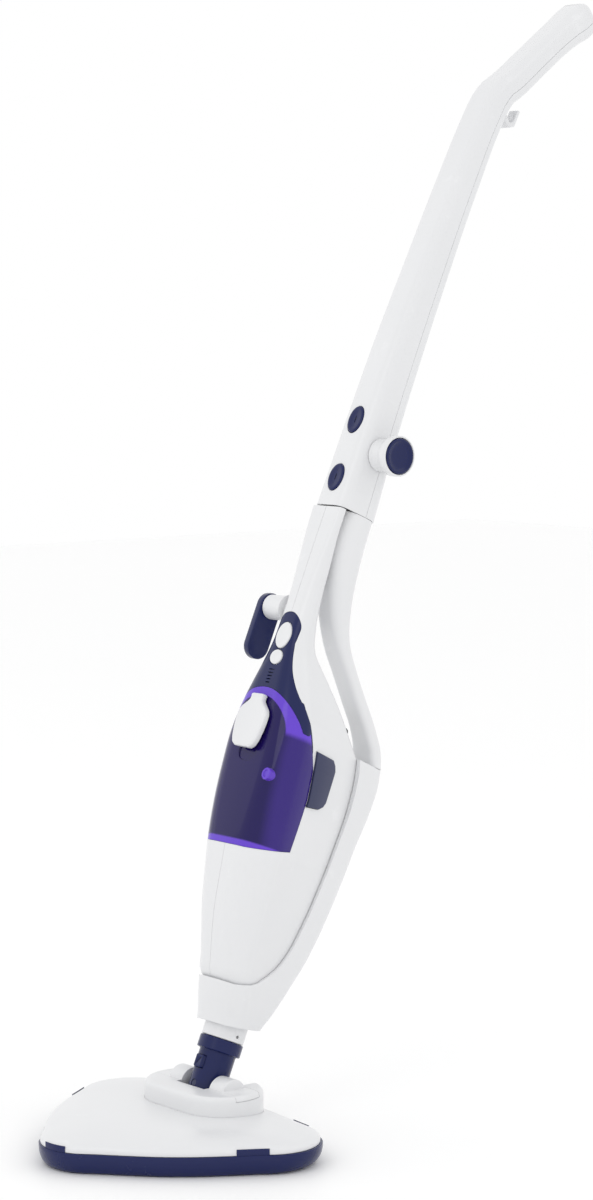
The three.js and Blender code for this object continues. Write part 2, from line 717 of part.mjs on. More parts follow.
// The well goes down through the cover, to make room for the foot of the neck.
function well(grow) {
  return box(-27 - grow, 27 + grow, -25 - grow, 23 + grow, 22 - grow, 44);
}

function headCover(head) {
  piece(head, 'head_cover', dome(0).subtract(dome(wall)).subtract(well(gap)), white);
}

function headTurret(head) {
  const bosses = rod('x', trunnionRadius, -40, 40, 0, pivotHeight, trunnionRadius, 24);
  const housing = turretBody().add(bosses.intersect(box(-60, 60, -20, 20, coverTop, 90)))
    .subtract(dome(-gap)).add(well(0))
    .subtract(box(-slotHalf, slotHalf, -19, 19, slotFloor, 90))
    .subtract(box(-slotHalf, slotHalf, 18, 60, coverTop + 0.8, 90))
    .subtract(box(-31, 31, 14.6, 60, pivotHeight - 6, 90))
    .subtract(rod('x', pinRadius + 0.5, -34.5, 34.5, 0, pivotHeight, pinRadius + 0.5, 16))
    .subtract(box(-6, 6, -6, 6, 18, 30));
  const below = housing.intersect(box(-80, 80, -80, 80, 0, pivotHeight));
  const front = housing.subtract(box(-80, 80, -trunnionRadius - gap, 80, pivotHeight, 100))
    .intersect(box(-80, 80, -80, 80, pivotHeight - 1, 100));
  const rear = housing.intersect(box(-80, 80, trunnionRadius + gap, 80, pivotHeight - 1, 100));
  piece(head, 'joint_housing', below.add(front).add(rear), white);
  [['left', -1], ['right', 1]].forEach(([place, side]) => {
    const zone = side > 0
      ? box(0, 80, -trunnionRadius, trunnionRadius, pivotHeight + gap, 100)
      : box(-80, 0, -trunnionRadius, trunnionRadius, pivotHeight + gap, 100);
    piece(head, `pivot_cap_${place}`, housing.intersect(zone), white);
  });
}

function headBase(head) {
  const plate = planLoft([[0.95, 12.6], [0.95, 16]]);
  let drilled = plate;
  for (let i = 0; i < 6; i += 1) {
    const angle = (i * Math.PI) / 3;
    drilled = drilled.subtract(
      rod('z', 2, 10, 18, 34 * Math.cos(angle), planMiddle + 34 * Math.sin(angle), 2, 8));
  }
  piece(head, 'base_plate', drilled.subtract(rod('z', 5, 10, 18, 0, 0, 5, 12)), slate);
  const seal = planLoft([[0.945, 16.2], [0.945, 18.4]])
    .subtract(planLoft([[0.915, 15], [0.915, 20]]));
  piece(head, 'base_seal', seal, rubber);
  piece(head, 'microfibre_pad', planLoft([
    [0.9, 4.4], [0.93, 5.6], [0.93, 11], [0.9, 12.2],
  ]), fibre);
  piece(head, 'head_hose', hose([[0, 0, 16.6], [0, 0, 19], [0, 0, 22], [0, 0, 25]],
    4, 3), hoseClear);
}

function carpetGlider(head) {
  const outer = planLoft([
    [0.93, 0], [0.965, 1.6], [0.995, 5.5], [1.012, 11], [1.015, gliderTop - gap],
  ]);
  const inside = planLoft([[0.945, 4], [0.965, 7], [0.985, gliderTop + 2]]);
  const middle = planMiddle;
  let opening = planLoft([[0.78, -2], [0.78, 6]]).subtract(rod('z', 27, -4, 8, 0, middle, 27, 20));
  [-90, 30, 150].forEach((angle) => {
    const spoke = new THREE.BoxGeometry(140, 15, 20);
    spoke.translate(70, 0, 0);
    spoke.rotateZ(THREE.MathUtils.degToRad(angle));
    spoke.translate(0, middle, 0);
    opening = opening.subtract(solid(spoke));
  });
  let glider = outer.subtract(inside).subtract(opening);
  const rim = planLoft([[1.006, gliderTop - 3], [1.006, gliderTop + 5.5]])
    .subtract(planLoft([[1.0025, gliderTop - 4], [1.0025, gliderTop + 7]]));
  const clips = [[6, -171], [126, -50], [-126, -50], [88, 42], [-88, 42]];
  clips.forEach(([x, y]) => {
    glider = glider.add(rim.intersect(box(x - 12, x + 12, y - 12, y + 12, 10, 30)));
  });
  piece(head, 'carpet_glider', glider, navy);
}

// ---------- the whole mop ----------

function build() {
  const mop = new THREE.Group();
  const upright = new THREE.Group();
  upright.position.set(0, pivotBack, pivotHeight);
  upright.rotation.x = -lean;
  handleShells(upright);
  gripPlug(upright);
  cordClip(upright);
  releaseParts(upright);
  cordPostParts(upright);
  bowArm(upright);
  cradle(upright);
  frameSpout(upright);
  unitShells(upright);
  controlPanel(upright);
  panelButton(upright, 'steam_button', steamButton, -77.8);
  panelButton(upright, 'power_button', powerButton, -78.2);
  waterTank(upright);
  tankBay(upright);
  tankCap(upright);
  tankTabs(upright);
  hookParts(upright);
  unitInsides(upright);
  neckParts(upright);
  gimbalRing(upright);
  const head = new THREE.Group();
  head.position.set(0, pivotBack, 0);
  headCover(head);
  headTurret(head);
  headBase(head);
  carpetGlider(head);
  mop.add(upright, head);
  return mop;
}

export default build();
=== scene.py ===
import bpy
import bmesh
import json
import math
import numpy as np
from mathutils import Matrix, Vector, noise


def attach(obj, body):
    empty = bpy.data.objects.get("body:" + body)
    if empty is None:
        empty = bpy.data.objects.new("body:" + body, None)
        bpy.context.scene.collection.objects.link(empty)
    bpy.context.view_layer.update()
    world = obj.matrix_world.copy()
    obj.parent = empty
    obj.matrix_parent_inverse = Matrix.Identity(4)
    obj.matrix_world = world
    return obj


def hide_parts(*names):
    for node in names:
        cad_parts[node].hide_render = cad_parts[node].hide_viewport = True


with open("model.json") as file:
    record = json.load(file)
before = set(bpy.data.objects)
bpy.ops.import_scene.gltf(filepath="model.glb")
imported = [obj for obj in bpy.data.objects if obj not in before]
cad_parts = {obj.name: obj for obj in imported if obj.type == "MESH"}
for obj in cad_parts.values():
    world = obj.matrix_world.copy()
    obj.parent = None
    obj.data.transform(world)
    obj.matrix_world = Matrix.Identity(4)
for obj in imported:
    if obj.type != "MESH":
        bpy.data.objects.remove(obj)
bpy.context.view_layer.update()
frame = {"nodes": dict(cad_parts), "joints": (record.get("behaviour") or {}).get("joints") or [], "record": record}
scene = bpy.context.scene

# the upright is drawn in its own millimetres: x across, y towards the back, z up along the neck
joints = {joint["name"]: joint for joint in frame["joints"]}
pivot = Vector(joints["neck_roll"]["pos_m"])
backwards = Vector(joints["neck_roll"]["axis"])
lean = math.atan2(-backwards.z, backwards.y)
uprightPlace = Matrix.Translation(pivot) @ Matrix.Rotation(-lean, 4, "X") @ Matrix.Scale(0.001, 4)
headPlace = Matrix.Translation((0, pivot.y, 0)) @ Matrix.Scale(0.001, 4)
slotOf = {part["node"]: part["material_slot"] for part in frame["record"]["subparts"]}


# camera, floor and lights
studio = {"distance": 2.65, "height": 0.6853, "azimuth": 52, "tilt": 84.68, "turn": 50.26,
          "lens": 60.22, "floorColour": (0.99, 0.99, 0.99), "skyStrength": 1.0}


def addCamera():
    azimuth = math.radians(studio["azimuth"])
    data = bpy.data.cameras.new("camera")
    data.sensor_fit = "VERTICAL"
    data.sensor_height = 24
    data.lens = studio["lens"]
    camera = bpy.data.objects.new("camera", data)
    camera.location = (studio["distance"] * math.sin(azimuth),
                       pivot.y - studio["distance"] * math.cos(azimuth), pivot.z + studio["height"])
    camera.rotation_euler = (math.radians(studio["tilt"]), 0, math.radians(studio["turn"]))
    scene.collection.objects.link(camera)
    scene.camera = camera


def addLight(name, place, aim, size, watts):
    data = bpy.data.lights.new(name, "AREA")
    data.shape = "DISK"
    data.size = size
    data.energy = watts
    light = bpy.data.objects.new(name, data)
    light.location = place
    light.rotation_euler = (Vector(aim) - Vector(place)).to_track_quat("-Z", "Y").to_euler()
    scene.collection.objects.link(light)


# shader helpers
class Wire:
    # a socket that sums can be written with
    def __init__(self, paint, socket):
        self.paint = paint
        self.socket = socket

    def sum(self, how, first, second):
        return self.paint.node("ShaderNodeMath", {"operation": how}, {0: first, 1: second})

    def __add__(self, other):
        return self.sum("ADD", self, other)

    def __radd__(self, other):
        return self.sum("ADD", other, self)

    def __sub__(self, other):
        return self.sum("SUBTRACT", self, other)

    def __rsub__(self, other):
        return self.sum("SUBTRACT", other, self)

    def __mul__(self, other):
        return self.sum("MULTIPLY", self, other)

    def __rmul__(self, other):
        return self.sum("MULTIPLY", other, self)

    def highest(self, other):
        return self.sum("MAXIMUM", self, other)

    def between(self, low, high):
        return self.paint.node("ShaderNodeMapRange", {"interpolation_type": "SMOOTHSTEP"},
                               {0: self, 1: low, 2: high})


class Paint:
    # one material, drawn node by node
    def __init__(self, name):
        self.material = bpy.data.materials.new(name)
        self.material.use_nodes = True
        self.tree = self.material.node_tree
        self.tree.nodes.clear()
        self.shader = self.tree.nodes.new("ShaderNodeBsdfPrincipled")
        output = self.tree.nodes.new("ShaderNodeOutputMaterial")
        self.tree.links.new(self.shader.outputs[0], output.inputs[0])
        self.where = self.node("ShaderNodeTexCoord", {}, {}, "Object")

    def node(self, kind, settings, sockets, out=0):
        made = self.tree.nodes.new(kind)
        for name, value in settings.items():
            setattr(made, name, value)
        self.fill(made, sockets)
        return Wire(self, made.outputs[out])

    def fill(self, made, sockets):
        for name, value in sockets.items():
            if isinstance(value, Wire):
                self.tree.links.new(value.socket, made.inputs[name])
            elif isinstance(value, tuple) and len(value) == 3 and made.inputs[name].type == "RGBA":
                made.inputs[name].default_value = (*value, 1)
            else:
                made.inputs[name].default_value = value

    def set(self, sockets):
        self.fill(self.shader, sockets)

    def cloud(self, scale, detail=2, roughness=0.5):
        return self.node("ShaderNodeTexNoise", {}, {
            "Vector": self.where, "Scale": scale, "Detail": detail, "Roughness": roughness})

    def mix(self, factor, first, second):
        return self.node("ShaderNodeMix", {"data_type": "RGBA"}, {0: factor, 6: first, 7: second}, 2)

    def bump(self, height, distance, strength=1.0):
        return self.node("ShaderNodeBump", {}, {
            "Height": height, "Distance": distance, "Strength": strength})


finishes = {
    "white_plastic": {"colour": (0.78, 0.785, 0.795), "shade": (0.745, 0.75, 0.765), "rough": (0.26, 0.36),
                      "grain": 0.00001, "coat": 0.15, "coatRough": 0.15, "mirror": 0.5},
    "navy_plastic": {"colour": (0.005, 0.01, 0.07), "shade": (0.008, 0.014, 0.085), "rough": (0.2, 0.3),
                     "grain": 0.000008, "coat": 0.05, "coatRough": 0.08, "mirror": 0.28},
    "slate_plastic": {"colour": (0.022, 0.026, 0.075), "shade": (0.05, 0.058, 0.12), "rough": (0.34, 0.46),
                      "grain": 0.00003, "coat": 0.0, "coatRough": 0.2, "mirror": 0.3},
    "black_rubber": {"colour": (0.018, 0.019, 0.022), "shade": (0.03, 0.03, 0.034), "rough": (0.65, 0.85),
                     "grain": 0.00005, "coat": 0.0, "coatRough": 0.3, "mirror": 0.5},
    "board_green": {"colour": (0.015, 0.11, 0.05), "shade": (0.02, 0.16, 0.07), "rough": (0.3, 0.5),
                    "grain": 0.00002, "coat": 0.3, "coatRough": 0.1, "mirror": 0.5},
}


def mouldedPlastic(name, look):
    paint = Paint(name)
    drift = paint.cloud(9, 3)
    speckle = paint.cloud(420, 2, 0.6)
    wear = paint.cloud(38, 5, 0.65).between(0.6, 0.72)
    tint = paint.mix(drift, look["colour"], look["shade"])
    smooth, dull = look["rough"]
    worn = tuple(min(1, c * 1.12 + 0.004) for c in look["colour"])
    paint.set({"Base Color": paint.mix(wear * 0.25, tint, worn),
               "Roughness": smooth + drift * (dull - smooth) + wear * 0.05,
               "Coat Weight": look["coat"], "Coat Roughness": look["coatRough"],
               "Specular IOR Level": look["mirror"],
               "Normal": paint.bump(speckle + paint.cloud(60, 2) * 2, look["grain"])})
    return paint.material


metals = {
    "steel_wire": {"colour": (0.62, 0.63, 0.65), "shade": (0.45, 0.46, 0.48), "rough": (0.2, 0.38)},
    "brass": {"colour": (0.66, 0.48, 0.2), "shade": (0.45, 0.31, 0.12), "rough": (0.25, 0.42)},
    "cast_alloy": {"colour": (0.52, 0.53, 0.54), "shade": (0.38, 0.39, 0.4), "rough": (0.42, 0.6)},
}


def workedMetal(name, look):
    paint = Paint(name)
    drift = paint.cloud(30, 4)
    turning = paint.node("ShaderNodeTexWave", {"wave_type": "RINGS"}, {
        "Vector": paint.where, "Scale": 900, "Distortion": 2})
    smooth, dull = look["rough"]
    paint.set({"Base Color": paint.mix(drift, look["colour"], look["shade"]), "Metallic": 1.0,
               "Roughness": smooth + drift * (dull - smooth),
               "Normal": paint.bump(turning + drift, 0.00002)})
    return paint.material


# edge is the colour of a painted glow on the thick rims of the clear tank; side is painted light on the right side
# face
tankTint = {"deep": (0.006, 0.002, 0.075), "side": (0.04, 0.018, 0.22), "edge": (0.17, 0.07, 0.75),
            "transmission": 0.12, "rough": 0.07, "archMiddle": 311, "archHalf": 46, "archRise": 43,
            "boss": (33, 277)}


def clearViolet(name):
    # drawn in the upright's own millimetres, so that painted glow can be put on the thick rims and painted light on
    # the right side face
    paint = Paint(name)
    turn = paint.node("ShaderNodeMapping", {"vector_type": "TEXTURE"}, {
        "Vector": paint.where, "Location": tuple(pivot), "Rotation": (-lean, 0, 0),
        "Scale": (0.001, 0.001, 0.001)})
    x = paint.node("ShaderNodeSeparateXYZ", {}, {0: turn}, 0)
    z = paint.node("ShaderNodeSeparateXYZ", {}, {0: turn}, 2)
    high = (z - tankTint["archMiddle"]) * (1 / tankTint["archRise"])
    arch = (x * x * (1 / tankTint["archHalf"] ** 2) + high * high).between(0.66, 0.7) * z.between(313, 319)
    foot = 1 - z.between(214.5, 216.5)
    # the right side face is made lighter: painted light, mixed with a little random tone
    paintedSideLight = x.between(34, 44)
    bossX, bossZ = tankTint["boss"]
    boss = 1 - ((x - bossX) * (x - bossX) + (z - bossZ) * (z - bossZ)).between(30, 36)
    drift = paint.cloud(14, 2)
    scuffs = paint.cloud(150, 4, 0.7).between(0.62, 0.8)
    body = paint.mix(paintedSideLight * 0.8 + drift * 0.2, tankTint["deep"], tankTint["side"])
    # the arch rim, the tank foot and the ring round the boss take the edge colour: painted glow
    paintedRimGlow = arch.highest(foot).highest(boss * x.between(20, 22))
    paint.set({"Base Color": paint.mix(paintedRimGlow * 0.85, body, tankTint["edge"]),
               "Roughness": tankTint["rough"] + scuffs * 0.06, "IOR": 1.49, "Specular IOR Level": 0.25,
               "Transmission Weight": tankTint["transmission"], "Coat Weight": 0.1, "Coat Roughness": 0.04,
               "Normal": paint.bump(paint.cloud(90, 2), 0.00002)})
    return paint.material


def clearHose(name):
    paint = Paint(name)
    drift = paint.cloud(60, 3)
    paint.set({"Base Color": paint.mix(drift, (0.7, 0.7, 0.64), (0.6, 0.6, 0.52)),
               "Roughness": 0.35 + drift * 0.15, "Transmission Weight": 0.3,
               "Normal": paint.bump(paint.cloud(300, 2), 0.00003)})
    return paint.material


def loopedPile(name):
    paint = Paint(name)
    loops = paint.node("ShaderNodeTexVoronoi", {"feature": "SMOOTH_F1"}, {
        "Vector": paint.where, "Scale": 620, "Smoothness": 0.6})
    rows = paint.node("ShaderNodeTexWave", {"bands_direction": "X"}, {
        "Vector": paint.where, "Scale": 34, "Distortion": 1.2, "Detail": 2})
    soil = paint.cloud(22, 4)
    tint = paint.mix(soil, (0.8, 0.81, 0.83), (0.66, 0.67, 0.7))
    # darker between the pile loops, where the bump sits lowest: painted shade in the hollows; soil is random dirt
    paint.set({"Base Color": paint.mix(loops.between(0.25, 0.6), tint, (0.5, 0.51, 0.55)),
               "Roughness": 0.93, "Sheen Weight": 0.5, "Sheen Roughness": 0.4,
               "Normal": paint.bump(rows * 0.5 - loops, 0.0006, 0.8)})
    return paint.material


def paleFloor():
    paint = Paint("pale_floor")
    drift = paint.cloud(1.5, 2)
    paint.set({"Base Color": paint.mix(drift, studio["floorColour"], (0.985, 0.985, 0.985)),
               "Roughness": 0.5 + drift * 0.1})
    return paint.material


materials = {name: mouldedPlastic(name, look) for name, look in finishes.items()}
materials.update({name: workedMetal(name, look) for name, look in metals.items()})
materials["violet_clear"] = clearViolet("violet_clear")
materials["hose_clear"] = clearHose("hose_clear")
materials["microfibre"] = loopedPile("microfibre")
for node, thing in frame["nodes"].items():
    thing.data.materials.clear()
    thing.data.materials.append(materials[slotOf[node]])
print("materials made:", len(materials))


# shaping helpers
def smoothRows(rows, spacing):
    # rows keyed by their first number, filled in along a smooth curve
    rows = np.array(rows, float)
    keys = rows[:, 0]
    slopes = np.gradient(rows, keys, axis=0)
    filled = []
    for i in range(len(keys) - 1):
        length = keys[i + 1] - keys[i]
        steps = max(1, round(length / spacing))
        for k in range(steps):
            t = k / steps
            filled.append((2 * t**3 - 3 * t**2 + 1) * rows[i] + (t**3 - 2 * t**2 + t) * length * slopes[i]
                          + (3 * t**2 - 2 * t**3) * rows[i + 1] + (t**3 - t**2) * length * slopes[i + 1])
    return filled + [rows[-1]]


def arc(cx, cy, radius, start, end, steps):
    angles = np.radians(np.linspace(start, end, steps + 1))
    return [(cx + radius * math.cos(a), cy + radius * math.sin(a)) for a in angles]


def roundedRing(width, depth, radius, steps=8):
    x, y = width / 2 - radius, depth / 2 - radius
    return (arc(x, -y, radius, -90, 0, steps) + arc(x, y, radius, 0, 90, steps)
            + arc(-x, y, radius, 90, 180, steps) + arc(-x, -y, radius, 180, 270, steps))


def ovalRing(middle, wide, tall, steps=48):
    return [(wide / 2 * math.cos(a), middle + tall / 2 * math.sin(a))
            for a in np.linspace(0, 2 * math.pi, steps, endpoint=False)]


def inset(ring, distance):
    # the ring drawn in by a distance, point by point
    points = np.array(ring)
    along = np.roll(points, -1, 0) - np.roll(points, 1, 0)
    along /= np.linalg.norm(along, axis=1)[:, None]
    turn = np.sum(points[:, 0] * np.roll(points[:, 1], -1) - points[:, 1] * np.roll(points[:, 0], -1))
    inward = np.stack([-along[:, 1], along[:, 0]], 1) * (1 if turn > 0 else -1)
    return points + inward * distance


def meshOf(bm):
    bmesh.ops.recalc_face_normals(bm, faces=bm.faces)
    mesh = bpy.data.meshes.new("shape")
    bm.to_mesh(mesh)
    bm.free()
    shape = bpy.data.objects.new("shape", mesh)
    scene.collection.objects.link(shape)
    return shape


def skin(rings, closed=False):
    # a surface over rings with equal counts: capped at both ends, or closed into a loop
    bm = bmesh.new()
    grid = [[bm.verts.new(point) for point in ring] for ring in rings]
    count = len(grid[0])
    pairs = list(zip(grid, grid[1:])) + ([(grid[-1], grid[0])] if closed else [])
    for low, high in pairs:
        for j in range(count):
            k = (j + 1) % count
            bm.faces.new((low[j], low[k], high[k], high[j]))
    if not closed:
        bm.faces.new(grid[0])
        bm.faces.new(list(reversed(grid[-1])))
    return meshOf(bm)


def turned(axis, centre, profile, sides=48, closed=False):
    # a lathe shape: profile is (radius, along) and centre is the other two coordinates
    rings = []
    for radius, along in profile:
        ring = []
        for a in np.linspace(0, 2 * math.pi, sides, endpoint=False):
            u, v = centre[0] + radius * math.cos(a), centre[1] + radius * math.sin(a)
            ring.append({"x": (along, u, v), "y": (u, along, v), "z": (u, v, along)}[axis])
        rings.append(ring)
    return skin(rings, closed)


def block(x0, x1, y0, y1, z0, z1):
    return skin([[(x0, y0, z), (x1, y0, z), (x1, y1, z), (x0, y1, z)] for z in (z0, z1)])


def frontPillow(ring, levels):
    # a plate seen from the front: each level is (drawn in by, y)
    return skin([[(a, y, b) for a, b in inset(ring, d)] for d, y in levels])


def sidePillow(ring, levels):
    # a plate seen from the side: each level is (drawn in by, x)
    return skin([[(x, a, b) for a, b in inset(ring, d)] for d, x in levels])


def cut(shape, cutter, how="DIFFERENCE"):
    step = shape.modifiers.new("cut", "BOOLEAN")
    step.operation = how
    step.solver = "EXACT"
    step.object = cutter
    scene.view_layers[0].update()
    whole = shape.evaluated_get(bpy.context.evaluated_depsgraph_get())
    mesh = bpy.data.meshes.new_from_object(whole)
    shape.modifiers.clear()
    shape.data = mesh
    bpy.data.objects.remove(cutter)
    return shape


def copyOf(shape):
    twin = bpy.data.objects.new("twin", shape.data.copy())
    scene.collection.objects.link(twin)
    return twin


def finishPiece(shape, name, body, nodes, place=uprightPlace, soften=0.0, sharp=38):
    mesh = shape.data
    mesh.name = shape.name = name
    mesh.materials.clear()
    mesh.materials.append(materials[slotOf[nodes[0]]])
    mesh.transform(place)
    if soften:
        edge = shape.modifiers.new("edges", "BEVEL")
        edge.width = soften * 0.001
        edge.segments = 3
        edge.limit_method = "ANGLE"
        edge.angle_limit = math.radians(sharp)
        edge.harden_normals = False
        scene.view_layers[0].update()
        whole = shape.evaluated_get(bpy.context.evaluated_depsgraph_get())
        shape.data = bpy.data.meshes.new_from_object(whole)
        shape.modifiers.clear()
        shape.data.name = name
    for face in shape.data.polygons:
        face.use_smooth = True
    shape.data.set_sharp_from_angle(angle=math.radians(sharp))
    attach(shape, body)
    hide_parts(*nodes)
    return shape


# the pole and the grip
pole = {"wall": 2.6, "gap": 0.3, "seam": 0.15, "round": 0.55, "gripTilt": 30,
        "rows": [(531, -77.5, -29.5, 42), (625, -76, -34, 41), (690, -74.2, -35, 40),
                 (770, -69.8, -34.8, 37.8), (860, -64, -33, 36), (935, -57.5, -28.5, 35)],
        "bend": [(951, -40.6, 12, 34.5, 28.6), (965, -35.4, 23, 34, 28.2)],
        "grip": [(12, 34, 28, 0), (50, 33, 28, 0), (88, 33, 28.5, 0), (107, 33.5, 30.5, 0.8),
                 (121, 34.5, 34, 2), (131, 33, 33, 2.4), (137, 26, 26, 2.4)]}


def poleRows():
    # rows of: how far along, y, z, tilt, width, depth
    rows = [(z, (front + back) / 2, z, 0, width, back - front) for z, front, back, width in pole["rows"]]
    rows += [(z, y, z, tilt, width, depth) for z, y, tilt, width, depth in pole["bend"]]
    rise = math.radians(pole["gripTilt"])
    for along, width, depth, droop in pole["grip"]:
        rows.append((965 + along, -34.6 + along * math.sin(rise) + droop * math.cos(rise),
                     964 + along * math.cos(rise) - droop * math.sin(rise), pole["gripTilt"], width, depth))
    return rows


def tilted(row, x, across):
    angle = math.radians(row[3])
    return (x, row[1] + across * math.cos(angle), row[2] - across * math.sin(angle))


def poleShell(side):
    rings = []
    for row in smoothRows(poleRows(), 9):
        half, end = row[4] / 2, row[5] / 2
        radius = min(half, end) * pole["round"]
        seam = row[5] * pole["seam"] + (pole["gap"] if side > 0 else 0)
        if side < 0:
            seam = -seam
        outer = ([(half, seam)] + arc(half - radius, end - radius, radius, 0, 90, 9)
                 + arc(-half + radius, end - radius, radius, 90, 180, 9) + [(-half, seam)])
        thin = radius - pole["wall"]
        inner = ([(half - pole["wall"], seam)] + arc(half - radius, end - radius, thin, 0, 90, 9)
                 + arc(-half + radius, end - radius, thin, 90, 180, 9) + [(-half + pole["wall"], seam)])
        rings.append([tilted(row, x, y * side) for x, y in outer + inner[::-1]])
    return skin(rings)


release = {"wide": 19, "tall": 26, "play": 0.8, "places": {"upper": (615, -76.2), "lower": (558, -77.4)}}
front = poleShell(-1)
for height, face in release["places"].values():
    ring = ovalRing(height, release["wide"] + release["play"], release["tall"] + release["play"])
    front = cut(front, frontPillow(ring, [(-1.2, -88), (-0.5, face - 0.4), (0, face + 0.6), (0, -60)]))
finishPiece(front, "poleFront", "frame", ["pole_front_shell"])
finishPiece(poleShell(1), "poleRear", "frame", ["pole_rear_shell"])

plugRows = [(row[0], row[1], row[2], row[3], row[4] - 6.2, row[5] - 6.2) for row in poleRows()[-4:]]
rise = math.radians(pole["gripTilt"])
for out, less in ((1.5, 1), (2.6, 3), (3.2, 7)):
    last = plugRows[3]
    plugRows.append((last[0] + out, last[1] + out * math.sin(rise), last[2] + out * math.cos(rise),
                     last[3], last[4] - less, last[5] - less))
plug = skin([[tilted(row, x, y) for x, y in roundedRing(row[4], row[5], min(row[4], row[5]) * 0.45)]
             for row in plugRows])
finishPiece(plug, "gripEndPlug", "frame", ["grip_end_plug"])

clipOutline = [(-25.4, 943), (-14, 938), (-8, 942), (-7, 958), (-10.5, 958), (-11.5, 945), (-15, 943),
               (-23, 949)]
clip = skin([[(x, y, z) for y, z in clipOutline] for x in (-6, 6)])
finishPiece(clip, "cordClip", "frame", ["cord_clip"], soften=0.9)

for name, (height, face) in release["places"].items():
    ring = ovalRing(height, release["wide"], release["tall"])
    button = frontPillow(ring, [
        (2.5, face + 5.4), (-1, face + 5.2), (-1, face + 4.2), (0, face + 4), (0, face - 0.2),
        (0.35, face - 0.8),
        (1.1, face - 1.15), (2.2, face - 1.2), (4, face - 0.95), (6.5, face - 0.6), (8.6, face - 0.5)])
    finishPiece(button, name + "ReleaseButton", name + "_release", [name + "_release_button"])

cordPost = {"y": -52, "z": 590}
post = turned("x", (cordPost["y"], cordPost["z"]), [
    (6.2, 12), (6.2, 21.2), (15.3, 21.4), (14.7, 24), (14.5, 30), (14.8, 35), (16, 37), (18, 37.6),
    (18.6, 38.4),
    (18.6, 46.2), (18.2, 46.9), (17.3, 47), (16.9, 46.6), (16.8, 44.1), (6, 44)], 72)
finishPiece(post, "cordPost", "frame", ["upper_cord_post"])
postCap = turned("x", (cordPost["y"], cordPost["z"]), [
    (6, 44.3), (16.3, 44.4), (16.3, 46.4), (15.9, 47.4), (15.1, 47.9), (14.3, 47.9), (13.4, 47.4), (12.6, 46.7),
    (9, 46.4), (3, 46.3)], 72)
finishPiece(postCap, "cordPostCap", "frame", ["upper_cord_post_cap"])
print("pole and grip made")


# the hand-held unit
unit = {"wall": 2.6, "gap": 0.3, "rows": [
    (64, -17, 17, 30, 30, 14, 14), (84, -20, 22, 36, 34, 16, 15), (95, -36, 35, 55, 42, 22, 19),
    (112, -43.5, 43, 60, 42, 25, 19), (132, -50.5, 50, 65, 42, 27, 18), (155, -57, 55, 73, 41, 28, 17),
    (185, -63, 59, 82, 40, 29, 16), (216, -68.5, 62, 90, 39, 29, 16), (250, -72.5, 63, 95, 38, 28, 15),
    (284, -75.5, 62.5, 96, 37, 27, 15), (310, -77.5, 56, 94, 38, 26, 16), (336, -78.7, 29, 86, 47, 26, 21),
    (360, -79, 1, 71, 52, 24, 22), (378, -78.3, -22, 56, 46, 19, 16), (397, -77.8, -44.5, 42, 39, 14, 12.5),
    (418, -77.8, -52.5, 37, 35, 12, 11), (445, -77.8, -57, 35, 33, 10.5, 9.5), (478, -77.8, -62.5, 36.5, 35.5, 7, 6.2),
    (510, -77.6, -68, 40, 40, 4.6, 4.2), (529.5, -77.4, -68.6, 41.4, 41.4, 4.2, 4)]}


def unitRing(row, grow, steps=9):
    height, front, back, frontWidth, backWidth, frontRadius, backRadius = row
    fx, bx = frontWidth / 2 - frontRadius, backWidth / 2 - backRadius
    fy, by = front + frontRadius, back - backRadius
    fr, br = frontRadius + grow, backRadius + grow
    ring = (arc(fx, fy, fr, -90, 0, steps) + arc(bx, by, br, 10, 90, steps)
            + arc(-bx, by, br, 90, 170, steps) + arc(-fx, fy, fr, 180, 270, steps))
    return [(x, y, height) for x, y in ring]


def unitSolid(grow, dropTop=False):
    rows = unit["rows"][:-1] if dropTop else unit["rows"]
    rows = smoothRows(rows, 5)
    rings = [unitRing(row, grow) for row in rows]
    rings[0] = [(x, y, z - grow) for x, y, z in rings[0]]
    rings[-1] = [(x, y, z + grow) for x, y, z in rings[-1]]
    return skin(rings)


tank = {"low": 210, "high": 354, "archHalf": 46, "archRise": 43, "back": -27, "wall": 2}


def tankZone(grow):
    low = tank["low"] - grow
    shoulder = tank["high"] - tank["archRise"]
    arch = [(x * (tank["archHalf"] + grow), shoulder + z * (tank["archRise"] + grow))
            for x, z in arc(0, 0, 1, 14, 166, 44)]
    outline = [(60, low), (60, shoulder + 1 + grow)] + arch + [(-60, shoulder + 1 + grow), (-60, low)]
    zone = skin([[(x, y, z) for x, z in outline] for y in (-100, 0)])
    back = tank["back"] + grow
    side = [(-100, low - 2), (-66, low), (back, low + 9), (back, 268), (back - 4, 294), (back - 11, 307),
            (back - 18, 318), (back - 28, 334), (back - 30, 362), (-100, 362)]
    return cut(zone, skin([[(x, y, z) for y, z in side] for x in (-70, 70)]), "INTERSECT")


def panelZone(grow):
    right = [(348, 37), (360, 29.5), (371, 23.5), (386, 18), (398, 15.3)]
    flank = [(row[1] + grow, row[0]) for row in smoothRows(right, 2)]
    foot = [(-60, 332 + grow), (-60, 306), (60, 306), (60, 332 + grow)]
    outline = arc(0, 411, 15.6 + grow, 0, 180, 30) + [(-x, z) for x, z in flank[::-1]] + foot + flank
    zone = skin([[(x, y, z) for x, z in outline] for y in (-100, -30)])
    edge = smoothRows([(300, -37), (310, -39), (323, -46), (347, -62), (366, -66), (430, -66)], 4)
    side = [(row[1] + grow, row[0]) for row in edge] + [(-100, 430), (-100, 300)]
    return cut(zone, skin([[(x, y, z) for y, z in side] for x in (-70, 70)]), "INTERSECT")


def tabSlot(grow, side):
    outline = [(-26 - grow, 262 - grow), (-7 + grow, 265 - grow), (-1.5 + grow, 268.5 - grow), (1 + grow, 273),
               (2 + grow, 303), (-0.5 + grow, 308 + grow), (-5 + grow, 312 + grow), (-33.4 - grow, 312 + grow),
               (-32.2 - grow, 306), (-26 - grow, 268)]
    inner = 25 if grow else 30
    ends = (inner, 80) if side > 0 else (-80, -inner)
    return skin([[(x, y, z) for y, z in outline] for x in ends])


